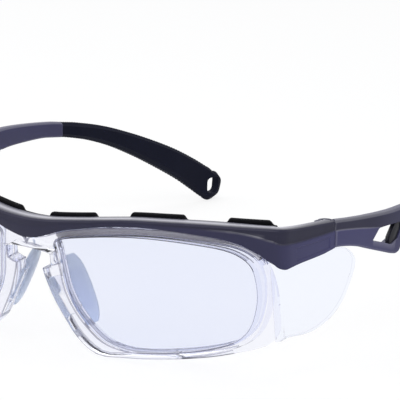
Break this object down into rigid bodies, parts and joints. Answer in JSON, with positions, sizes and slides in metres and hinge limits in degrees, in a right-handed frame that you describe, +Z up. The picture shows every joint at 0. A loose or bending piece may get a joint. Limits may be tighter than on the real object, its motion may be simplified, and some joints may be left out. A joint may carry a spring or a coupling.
{
  "type": "safety glasses",
  "caption": "Wrap-round prescription safety glasses with clear rims and side shields, a dark brow bar with a cushion strip, and folding temples with soft, slotted tips.",
  "frame": {"origin": "bottom centre: on the floor, midway across and midway between the front of the brow bar and the ends of the temples", "axes": "+X towards the wearer's left, +Y back towards the ears, +Z up, with the temples open"},
  "size_m": [0.147, 0.1706, 0.0409],
  "materials": {
    "clear_rims": "polished clear moulding",
    "clear_shield": "polished clear moulding",
    "lens_clear": "polished, faint blue",
    "navy_shell": "satin navy charcoal",
    "cushion_foam": "matt soft moulding",
    "tip_rubber": "matt soft moulding",
    "pad_silicone": "translucent silicone",
    "black_trim": "satin black",
    "screw_steel": "turned",
    "insert_brass": "turned"
  },
  "bodies": {
    "root": {"front_frame": "clear_rims", "brow_bar": "navy_shell", "brow_cushion": "cushion_foam", "bar_screws": "screw_steel", "lens_left": "lens_clear", "lens_right": "lens_clear", "side_shield_left": "clear_shield", "side_shield_right": "clear_shield", "nose_pad_left": "pad_silicone", "nose_pad_right": "pad_silicone", "hinge_screw_left": "screw_steel", "hinge_screw_right": "screw_steel", "hinge_insert_left": "insert_brass", "hinge_insert_right": "insert_brass"},
    "temple_left": {"temple_arm_left": "navy_shell", "temple_inlay_left": "black_trim", "temple_tip_left": "tip_rubber"},
    "temple_right": {"temple_arm_right": "navy_shell", "temple_inlay_right": "black_trim", "temple_tip_right": "tip_rubber"}
  },
  "joints": [
    {"name": "temple_fold_left", "type": "hinge", "parent": "root", "child": "temple_left", "pos_m": [0.06811, -0.04511, 0.03526], "axis": [0, 0, 1], "range_deg": [0, 90]},
    {"name": "temple_fold_right", "type": "hinge", "parent": "root", "child": "temple_right", "pos_m": [-0.06811, -0.04511, 0.03526], "axis": [0, 0, -1], "range_deg": [0, 82]}
  ]
}
